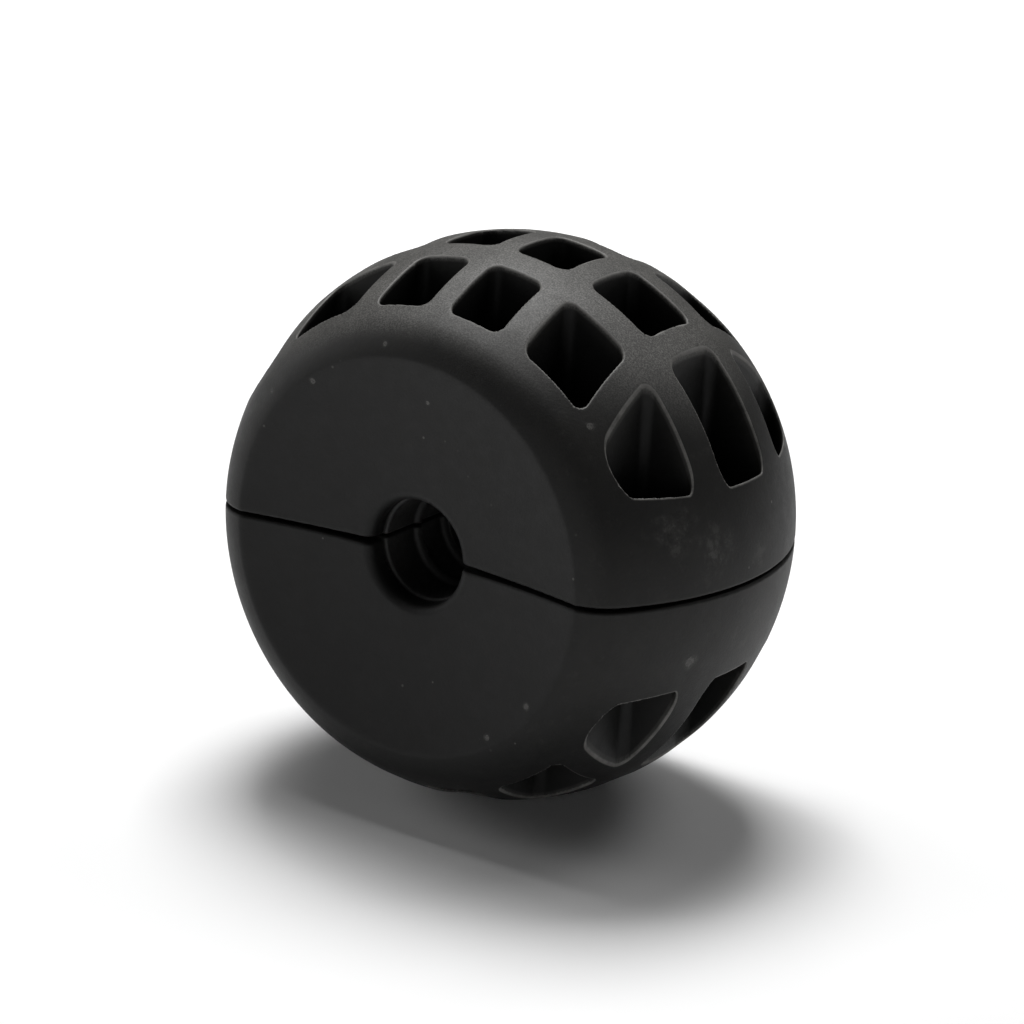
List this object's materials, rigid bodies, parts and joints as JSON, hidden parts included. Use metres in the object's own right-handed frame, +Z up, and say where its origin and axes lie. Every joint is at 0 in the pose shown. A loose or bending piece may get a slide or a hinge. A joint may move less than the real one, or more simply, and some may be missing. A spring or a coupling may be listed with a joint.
{
  "type": "clamp-on line stop ball",
  "caption": "Split ball with dished end faces and cored pockets that clamps round a hose, cord or line as a stop.",
  "frame": {"origin": "centre of the ball, on the parting plane and on the bore's axis", "axes": "+Z up, square to the parting plane; +Y along the bore, with the face that the picture shows at -Y; +X to the right of that face"},
  "size_m": [0.07, 0.0456, 0.07],
  "materials": {
    "shell_plastic": "moulded matt black",
    "liner_rubber": "matt black rubber",
    "screw_steel": "black oxide",
    "zinc_steel": "bright zinc plate"
  },
  "bodies": {
    "lower_half": {"lower_half": "shell_plastic", "lower_grip_liner": "liner_rubber", "nut_washer_1": "zinc_steel", "nut_washer_2": "zinc_steel", "nut_washer_3": "zinc_steel", "nut_washer_4": "zinc_steel"},
    "upper_half": {"upper_half": "shell_plastic", "upper_grip_liner": "liner_rubber", "head_washer_1": "zinc_steel", "head_washer_2": "zinc_steel", "head_washer_3": "zinc_steel", "head_washer_4": "zinc_steel"},
    "clamp_screw_1": {"clamp_screw_1": "screw_steel"},
    "clamp_nut_1": {"clamp_nut_1": "zinc_steel"},
    "clamp_screw_2": {"clamp_screw_2": "screw_steel"},
    "clamp_nut_2": {"clamp_nut_2": "zinc_steel"},
    "clamp_screw_3": {"clamp_screw_3": "screw_steel"},
    "clamp_nut_3": {"clamp_nut_3": "zinc_steel"},
    "clamp_screw_4": {"clamp_screw_4": "screw_steel"},
    "clamp_nut_4": {"clamp_nut_4": "zinc_steel"}
  },
  "joints": [
    {"name": "upper_half_lift", "type": "slide", "parent": "lower_half", "child": "upper_half", "axis": [0, 0, 1], "range_m": [0, 0.03]},
    {"name": "screw_1_turn", "type": "hinge", "parent": "upper_half", "child": "clamp_screw_1", "pos_m": [-0.0165, -0.01345, 0], "axis": [0, 0, 1], "continuous": true},
    {"name": "screw_2_turn", "type": "hinge", "parent": "upper_half", "child": "clamp_screw_2", "pos_m": [0.0165, -0.01345, 0], "axis": [0, 0, 1], "continuous": true},
    {"name": "screw_3_turn", "type": "hinge", "parent": "upper_half", "child": "clamp_screw_3", "pos_m": [0.0165, 0.01345, 0], "axis": [0, 0, 1], "continuous": true},
    {"name": "screw_4_turn", "type": "hinge", "parent": "upper_half", "child": "clamp_screw_4", "pos_m": [-0.0165, 0.01345, 0], "axis": [0, 0, 1], "continuous": true},
    {"name": "nut_1_turn", "type": "hinge", "parent": "lower_half", "child": "clamp_nut_1", "pos_m": [-0.0165, -0.01345, 0], "axis": [0, 0, 1], "continuous": true},
    {"name": "nut_2_turn", "type": "hinge", "parent": "lower_half", "child": "clamp_nut_2", "pos_m": [0.0165, -0.01345, 0], "axis": [0, 0, 1], "continuous": true},
    {"name": "nut_3_turn", "type": "hinge", "parent": "lower_half", "child": "clamp_nut_3", "pos_m": [0.0165, 0.01345, 0], "axis": [0, 0, 1], "continuous": true},
    {"name": "nut_4_turn", "type": "hinge", "parent": "lower_half", "child": "clamp_nut_4", "pos_m": [-0.0165, 0.01345, 0], "axis": [0, 0, 1], "continuous": true}
  ]
}
